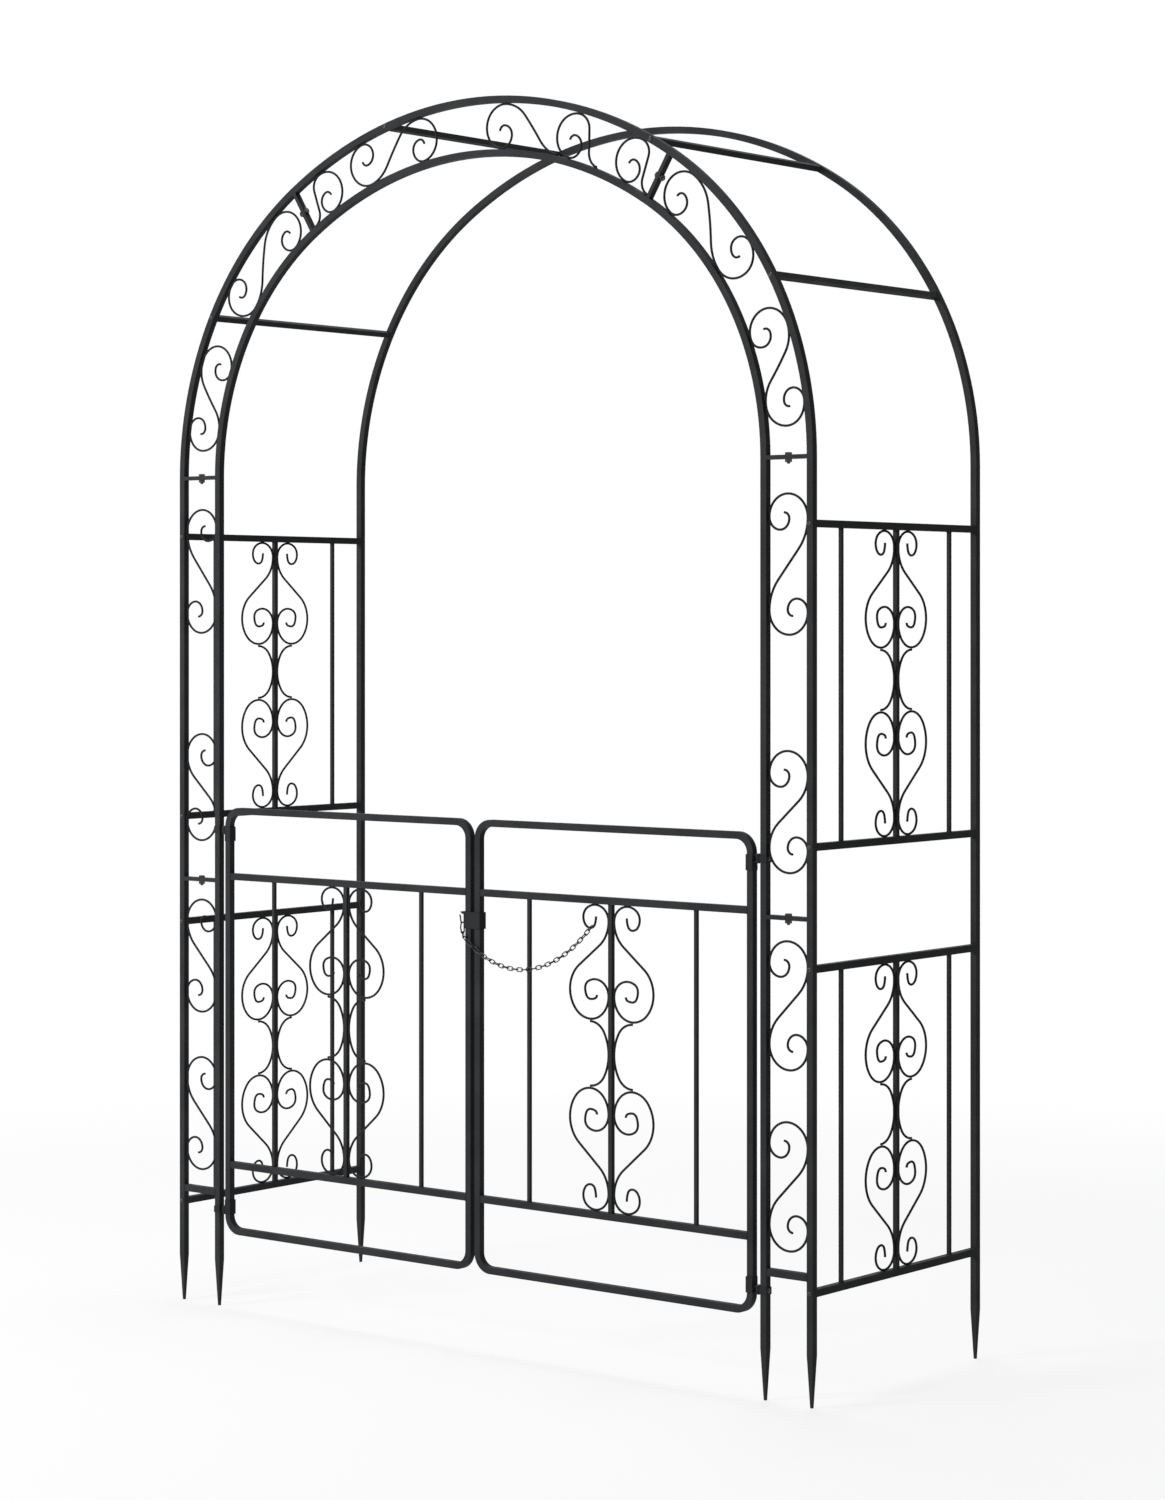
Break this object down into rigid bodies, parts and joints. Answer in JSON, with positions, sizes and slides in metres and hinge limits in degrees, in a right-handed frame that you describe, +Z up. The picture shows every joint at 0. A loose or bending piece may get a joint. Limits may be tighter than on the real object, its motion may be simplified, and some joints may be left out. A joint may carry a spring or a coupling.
{
  "type": "garden arch with gate",
  "caption": "Walk-through garden arch of square steel tube with scroll panels at its sides and a double gate with a clip latch in its front.",
  "frame": {"origin": "middle of the footprint, at the height of the stake tips", "axes": "+Z up, +X to the right across the gateway seen from the gate side, +Y from the gate's plane towards the back arch"},
  "size_m": [1.44, 0.5086, 2.1699],
  "materials": {
    "black_tube": "satin",
    "black_scroll_wire": "satin",
    "black_fittings": "satin",
    "black_fasteners": "satin",
    "black_chain_and_clip": "semi-gloss",
    "plain_steel_inserts": "mill"
  },
  "bodies": {
    "arch_frame": {"arch_tie_bars": "black_tube", "back_arch_crown": "black_tube", "back_arch_haunch_left": "black_tube", "back_arch_haunch_right": "black_tube", "back_post_lower_left": "black_tube", "back_post_lower_right": "black_tube", "back_post_middle_left": "black_tube", "back_post_middle_right": "black_tube", "crown_scrolls": "black_scroll_wire", "frame_screws": "black_fasteners", "front_arch_inner_crown": "black_tube", "front_arch_inner_haunch_left": "black_tube", "front_arch_inner_haunch_right": "black_tube", "front_arch_outer_crown": "black_tube", "front_arch_outer_haunch_left": "black_tube", "front_arch_outer_haunch_right": "black_tube", "front_inner_post_lower_left": "black_tube", "front_inner_post_lower_right": "black_tube", "front_inner_post_middle_left": "black_tube", "front_inner_post_middle_right": "black_tube", "front_outer_post_lower_left": "black_tube", "front_outer_post_lower_right": "black_tube", "front_outer_post_middle_left": "black_tube", "front_outer_post_middle_right": "black_tube", "haunch_scrolls": "black_scroll_wire", "high_crossbars": "black_tube", "hinge_bands": "black_fittings", "hinge_rivets": "black_fasteners", "ladder_foot_bars": "black_tube", "ladder_scrolls_lower": "black_scroll_wire", "ladder_scrolls_middle": "black_scroll_wire", "ladder_tie_bars": "black_tube", "low_crossbars": "black_tube", "lower_panel_frame_left": "black_tube", "lower_panel_frame_right": "black_tube", "lower_panel_scrolls_left": "black_scroll_wire", "lower_panel_scrolls_right": "black_scroll_wire", "tie_bolts": "black_fasteners", "tie_nuts": "black_fasteners", "tube_end_plugs": "plain_steel_inserts", "tube_spigots": "plain_steel_inserts", "upper_panel_frame_left": "black_tube", "upper_panel_frame_right": "black_tube", "upper_panel_scrolls_left": "black_scroll_wire", "upper_panel_scrolls_right": "black_scroll_wire"},
    "gate_left": {"gate_left_frame": "black_tube", "gate_left_hinge_pins": "black_fasteners", "gate_left_hinge_straps": "black_fittings", "gate_left_rails_and_bars": "black_tube", "gate_left_scrolls": "black_scroll_wire", "latch_tab": "black_fittings"},
    "gate_right": {"gate_right_frame": "black_tube", "gate_right_hinge_pins": "black_fasteners", "gate_right_hinge_straps": "black_fittings", "gate_right_rails_and_bars": "black_tube", "gate_right_scrolls": "black_scroll_wire", "latch_clasp": "black_fittings", "clip_chain": "black_chain_and_clip"},
    "latch_clip": {"latch_clip": "black_chain_and_clip"}
  },
  "joints": [
    {"name": "gate_right_hinge", "type": "hinge", "parent": "arch_frame", "child": "gate_right", "pos_m": [0.6085, -0.242, 0.528], "axis": [0, 0, 1], "range_deg": [0, 90]},
    {"name": "gate_left_hinge", "type": "hinge", "parent": "arch_frame", "child": "gate_left", "pos_m": [-0.6085, -0.242, 0.528], "axis": [0, 0, 1], "range_deg": [0, 90]},
    {"name": "clip_slide", "type": "slide", "parent": "gate_right", "child": "latch_clip", "axis": [0, 0, 1], "range_m": [-0.035, 0.008], "deforming": ["clip_chain"]}
  ]
}
